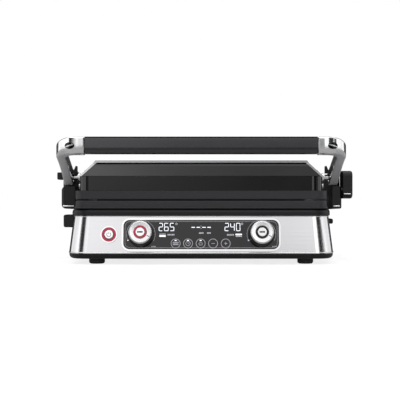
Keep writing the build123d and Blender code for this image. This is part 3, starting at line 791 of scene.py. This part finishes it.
def grip_shell():
    """Grip with softened edges and a shadow line along its lower front."""
    front, back = HANDLE_FRONT, HANDLE_FRONT + HANDLE_DEEP
    low, top = GRIP_LOW, HANDLE_TOP
    outline = [(front + 0.9, top - 1.5), (front + 1.7, top - 0.4), (front + 3.0, top)]
    outline += [(back - 3.2, top - 2.6), (back - 1.4, top - 3.4), (back, top - 5.2)]
    outline += [(back, low + 2.6), (back - 0.8, low + 0.8)]
    outline += [(back - 2.6, low), (front + 6.4, low), (front + 4.6, low + 0.6), (front + 3.0, low + 2.4)]
    outline += [(front + 2.6, low + 3.2), (front + 1.6, low + 3.6), (front + 0.4, low + 5.6)]
    outline += [(front + 0.1, low + 6.6), (front + 1.1, low + 6.9), (front + 1.1, low + 7.6)]
    outline += [(front + 0.1, low + 7.9)]
    grid = bmesh.new()
    half = GRIP_HALF - 0.3
    middle = Vector(((front + back) / 2, (low + top) / 2))
    ends = [(-half, 1.2), (-half + 0.5, 0.35), (-half + 1.3, 0)]
    ends += [(half - 1.3, 0), (half - 0.5, 0.35), (half, 1.2)]
    rings = []
    for x, inset in ends:
        ring = []
        for y, z in outline:
            pull = (middle - Vector((y, z))).normalized() * inset
            ring.append(Vector((x, y + pull.x, z + pull.y)) * MM)
        rings.append(ring)
    loft(grid, rings)
    shell = piece("grip_shell", grid, grip_black, "arms", 50)
    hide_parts("handle_grip")


def grip_highlight_strip():
    """Thin grey metal strip along the grip's lower bevel: a painted highlight line."""
    section = ((1.0, 4.6), (1.45, 3.9), (2.2, 4.1), (1.8, 4.9))
    rings = []
    for x in (-GRIP_HALF + 2, GRIP_HALF - 2):
        rings.append([Vector((x, HANDLE_FRONT + dy, GRIP_LOW + dz)) * MM for dy, dz in section])
    grid = bmesh.new()
    loft(grid, rings)
    piece("grip_highlight_strip", grid, spring_steel, "arms")


def bead_ring(x, y, z, radius, flatten=1.0):
    """Ring round a bead that runs along X."""
    angles = [math.tau * i / 10 for i in range(10)]
    return [Vector((x, y + flatten * radius * math.cos(a), z + radius * math.sin(a))) * MM for a in angles]


def grip_lines():
    """Matt black lines of painted shadow along the grip's upper edge and both sides of the highlight strip.
    """
    front, low = HANDLE_FRONT, GRIP_LOW
    half = GRIP_HALF - 1.2
    spots = ((front + 1.1, HANDLE_TOP - 1.0, 0.65), (front + 0.75, low + 6.2, 0.6),
             (front + 4.9, low + 0.75, 0.7))
    for index, (y, z, radius) in enumerate(spots):
        ends = [(-half, radius * 0.5), (-half + 0.5, radius), (half - 0.5, radius), (half, radius * 0.5)]
        grid = bmesh.new()
        loft(grid, [bead_ring(x, y, z, r) for x, r in ends])
        piece(f"grip_line_{index}", grid, matt_line, "arms")


# ---- base trim ----
WRAP_LOW_CORNER, WRAP_HIGH_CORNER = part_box("base_wrap")
HEM_R = 0.85
RIM_Z = 75.6                 # height of the bright bead on the hinge covers: a painted highlight
RIM_FLAT = 0.8               # the beads stand out less than they are tall


def wrap_path(share, out):
    """Outline of the wrap at a share of its height, from one rear edge round the front to the other."""
    half = WRAP_HIGH_CORNER[0] / MM - 5.5 * share + out
    front = WRAP_LOW_CORNER[1] / MM + 9.5 * share - out
    corner = 26 - 2 * share + out
    rear = 137.5
    points = [Vector((-half, rear)), Vector((-half, 0))]
    points += [Vector(p) for p in arc(-half + corner, front + corner, corner, 180, 270, 14)]
    points += [Vector(p) for p in arc(half - corner, front + corner, corner, 270, 360, 14)]
    return points + [Vector((half, 0)), Vector((half, rear))]


def hem(name, share, z, radius):
    """Rolled edge of the wrap: a slim bead round front and sides, in a lighter steel that paints a highlight
    line along the edge.
    """
    grid = bmesh.new()
    path = wrap_path(share, -0.35)
    rings = []
    for i, here in enumerate(path):
        along = (path[min(i + 1, len(path) - 1)] - path[max(i - 1, 0)]).normalized()
        side = Vector((along.y, -along.x))
        ring = []
        for k in range(10):
            turn_by = math.tau * k / 10
            spot = here + side * radius * math.cos(turn_by)
            ring.append(Vector((spot.x, spot.y, z + radius * math.sin(turn_by))) * MM)
        rings.append(ring)
    loft(grid, rings)
    piece(name, grid, hem_steel_painted_highlight, "base", 60)


def cover_highlight_bead(side):
    """Bright steel bead near the foot of a hinge cover's front end: a painted highlight along the cover's
    lower edge.
    """
    low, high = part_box(f"arm_cover_{side}")
    near, far = sorted(abs(v) / MM for v in (low[0], high[0]))
    front = low[1] / MM - 0.15
    sign = 1 if side == "right" else -1
    ends = [(near + 1.2, 0.5), (near + 1.6, 0.85), (far - 3.0, 0.85), (far - 2.6, 0.5)]
    grid = bmesh.new()
    loft(grid, [bead_ring(sign * x, front, RIM_Z, r, RIM_FLAT) for x, r in ends])
    piece(f"cover_highlight_bead_{side}", grid, hem_steel_painted_highlight, "arms")


def lever_highlight_bead():
    """Bright steel bead across the lever's lower end: a painted highlight."""
    low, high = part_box("release_lever")
    left, right = low[0] / MM, high[0] / MM
    front, up = low[1] / MM - 0.15, low[2] / MM + 6.5
    ends = [(left + 1.0, 0.4), (left + 1.5, 0.7), (right - 3.4, 0.7), (right - 2.9, 0.4)]
    grid = bmesh.new()
    loft(grid, [bead_ring(x, front, up, r, RIM_FLAT) for x, r in ends])
    piece("lever_highlight_bead", grid, hem_steel_painted_highlight, "lever")


def spring_coil(name, anchor, along, radius, wire_r, turns, length, side_axis):
    """Compression spring coiled out from its anchored end, on a mesh of its own."""
    other = along.cross(side_axis)
    rings = []
    steps = 28 * turns
    for i in range(steps + 1):
        angle = math.tau * turns * i / steps
        radial = side_axis * math.cos(angle) + other * math.sin(angle)
        centre = anchor + (radial * radius + along * (length * i / steps)) * MM
        rings.append([centre + (radial * math.cos(b) + along * math.sin(b)) * wire_r * MM
                      for b in [math.tau * k / 8 for k in range(8)]])
    grid = bmesh.new()
    loft(grid, rings)
    coil = piece(name + "_coil", grid, spring_steel, "base", 60)
    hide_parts(name)
    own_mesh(coil)


def springs():
    """The two button springs."""
    spring_coil("power_spring", panel(POWER_X, 0, -6.0), OUT, 3.6, 0.3, 3, 3.4, ACROSS)
    low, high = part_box("release_spring")
    anchor = Vector((high[0], (low[1] + high[1]) / 2, (low[2] + high[2]) / 2))
    length = (high[0] - low[0]) / MM
    outwards, up = Vector((-1, 0, 0)), Vector((0, 0, 1))
    spring_coil("release_spring", anchor, outwards, 6.0, 0.6, 5, length - 1.4, up)


def build_all():
    springs()
    display_figures()
    display_dim()
    touch_keys()
    glass_border()
    scale_dots()
    power_mark()
    for side in ("left", "right"):
        knob_dial(side)
        knob_marks(side)
        arm_shell(side)
        arm_gusset(side)
        arm_screw(side)
        cover_highlight_bead(side)
    grip_shell()
    grip_highlight_strip()
    grip_lines()
    hem("wrap_hem_top", 0.98, WRAP_HIGH_CORNER[2] / MM - 0.9, HEM_R)
    hem("wrap_hem_bottom", 0.02, WRAP_LOW_CORNER[2] / MM + 0.9, HEM_R)
    lever_highlight_bead()


build_all()

# ---- studio ----
FLOOR_SEEN = 3.0             # the floor clips to white for the camera
FLOOR_REFLECTED = 0.6        # and reads as pale grey in the metal
LENS = 83.08
CAMERA_PLACE = (-1.5, -1340, 84)


def by_ray(tree, seen, reflected):
    """Shader that the camera sees one way and all other rays another way."""
    path = add(tree, "ShaderNodeLightPath")
    pick = add(tree, "ShaderNodeMixShader")
    wire(tree, path, "Is Camera Ray", pick, "Fac")
    tree.links.new(reflected.outputs[0], pick.inputs[1])
    tree.links.new(seen.outputs[0], pick.inputs[2])
    return pick


def studio():
    """Pale floor, a level camera at the press's middle height and a soft lamp overhead."""
    bpy.ops.mesh.primitive_plane_add(size=12)
    floor = bpy.context.object
    floor.name = "floor"
    material, tree, shader = new_material("floor_white")
    paper = noise(tree, 60.0, 3.0)
    shade = tint(tree, paper, (0.26, 0.26, 0.26), (0.28, 0.28, 0.28))
    wire(tree, shade, "Color", shader, "Base Color")
    shader.inputs["Roughness"].default_value = 0.9
    shader.inputs["Specular IOR Level"].default_value = 0.0
    bright = add(tree, "ShaderNodeEmission", Strength=FLOOR_SEEN)
    wire(tree, shade, "Color", bright, "Color")
    dim = add(tree, "ShaderNodeEmission", Strength=FLOOR_REFLECTED)
    wire(tree, shade, "Color", dim, "Color")
    pick = by_ray(tree, bright, dim)
    both = add(tree, "ShaderNodeAddShader")
    tree.links.new(pick.outputs[0], both.inputs[0])
    tree.links.new(shader.outputs[0], both.inputs[1])
    ends = [node for node in tree.nodes if node.type == "OUTPUT_MATERIAL"]
    tree.links.new(both.outputs[0], ends[0].inputs["Surface"])
    floor.data.materials.append(material)

    camera = bpy.data.cameras.new("camera")
    camera.lens = LENS
    camera.sensor_width = 36
    holder = bpy.data.objects.new("camera", camera)
    bpy.context.scene.collection.objects.link(holder)
    holder.location = [value * MM for value in CAMERA_PLACE]
    holder.rotation_euler = (math.radians(90), 0, 0)
    bpy.context.scene.camera = holder

    lamp = bpy.data.lights.new("top_softbox", "AREA")
    lamp.shape = "RECTANGLE"
    lamp.size = 1.6
    lamp.size_y = 1.2
    lamp.energy = 9
    top = bpy.data.objects.new("top_softbox", lamp)
    bpy.context.scene.collection.objects.link(top)
    top.location = (-0.2, -0.1, 1.5)

    bpy.context.scene.view_settings.view_transform = "Standard"


def ramp_node(tree, stops):
    """Grey ramp through (place, brightness) stops."""
    ramp = add(tree, "ShaderNodeValToRGB")
    elements = ramp.color_ramp.elements
    while len(elements) > 1:
        elements.remove(elements[0])
    elements[0].position = stops[0][0]
    elements[0].color = (stops[0][1],) * 3 + (1,)
    for place, value in stops[1:]:
        element = elements.new(place)
        element.color = (value,) * 3 + (1,)
    return ramp


def turn(degrees):
    """Azimuth from straight in front (0), right positive, as a share of the full circle."""
    return (degrees + 180) / 360


# brightness of the surroundings by azimuth: overhead, above eye level and at eye level
TOP_RAMP = [(-180, 0.4), (-174, 0.6), (-168, 1.0), (-120, 1.0), (0, 1.0), (120, 1.0), (168, 0.33), (180, 0.4)]
HIGH_RAMP = [(-180, 0.15), (-128, 0.15), (-118, 1.2), (-100, 0.75), (-82, 0.75), (-74, 1.5), (-61, 1.7),
             (-59, 0.03), (-30, 0.03), (-27, 1.3), (-14, 1.5), (-6, 1.3), (0, 1.15), (8, 1.0), (11, 1.9),
             (27, 1.9), (30, 0.03), (59, 0.03), (61, 1.7), (74, 1.5), (82, 0.75), (100, 0.75), (118, 1.2),
             (128, 0.15), (180, 0.15)]
LOW_RAMP = [(-180, 0.05), (-126, 0.05), (-118, 1.3), (-100, 1.1), (-54, 1.8), (-51, 0.02), (-40, 0.03),
            (-29, 0.45), (-12, 1.3), (-8, 1.0), (0, 0.5), (7, 0.2), (11, 0.6), (13, 1.8), (25, 1.8),
            (28, 0.02), (51, 0.02), (52.5, 1.2), (54.5, 1.2), (56, 0.02), (65, 0.02), (72, 1.6),
            (100, 1.1), (118, 1.3), (126, 0.05), (180, 0.05)]


def surroundings():
    """White to the camera; to the metal, pale walls with dark flags, brighter overhead."""
    world = bpy.data.worlds.new("studio")
    bpy.context.scene.world = world
    world.use_nodes = True
    tree = world.node_tree
    tree.nodes.clear()
    direction = add(tree, "ShaderNodeTexCoord")
    parts = add(tree, "ShaderNodeSeparateXYZ")
    wire(tree, direction, "Generated", parts, "Vector")
    front = add(tree, "ShaderNodeMath", operation="MULTIPLY")
    front.inputs[1].default_value = -1
    wire(tree, parts, "Y", front, 0)
    angle = add(tree, "ShaderNodeMath", operation="ARCTAN2")
    wire(tree, parts, "X", angle, 0)
    wire(tree, front, "Value", angle, 1)
    share = add(tree, "ShaderNodeMapRange")
    share.inputs["From Min"].default_value = -math.pi
    share.inputs["From Max"].default_value = math.pi
    wire(tree, angle, "Value", share, "Value")
    high = ramp_node(tree, [(turn(degrees), value) for degrees, value in HIGH_RAMP])
    low = ramp_node(tree, [(turn(degrees), value) for degrees, value in LOW_RAMP])
    top = ramp_node(tree, [(turn(degrees), value) for degrees, value in TOP_RAMP])
    wire(tree, share, "Result", top, "Fac")
    wire(tree, share, "Result", high, "Fac")
    wire(tree, share, "Result", low, "Fac")
    level = add(tree, "ShaderNodeMapRange", interpolation_type="SMOOTHSTEP")
    level.inputs["From Min"].default_value = 0.255
    level.inputs["From Max"].default_value = 0.315
    wire(tree, parts, "Z", level, "Value")
    blend = add(tree, "ShaderNodeMix", data_type="RGBA")
    wire(tree, level, "Result", blend, "Factor")
    tree.links.new(low.outputs["Color"], blend.inputs[6])
    tree.links.new(high.outputs["Color"], blend.inputs[7])
    lift = add(tree, "ShaderNodeMapRange", interpolation_type="SMOOTHSTEP")
    lift.inputs["From Min"].default_value = 0.60
    lift.inputs["From Max"].default_value = 0.76
    wire(tree, parts, "Z", lift, "Value")
    dome = add(tree, "ShaderNodeMix", data_type="RGBA")
    wire(tree, lift, "Result", dome, "Factor")
    tree.links.new(blend.outputs[2], dome.inputs[6])
    tree.links.new(top.outputs["Color"], dome.inputs[7])
    seen = add(tree, "ShaderNodeBackground")
    seen.inputs["Color"].default_value = (1, 1, 1, 1)
    soft = add(tree, "ShaderNodeBackground")
    tree.links.new(dome.outputs[2], soft.inputs["Color"])
    pick = by_ray(tree, seen, soft)
    output = add(tree, "ShaderNodeOutputWorld")
    tree.links.new(pick.outputs[0], output.inputs["Surface"])


studio()
surroundings()
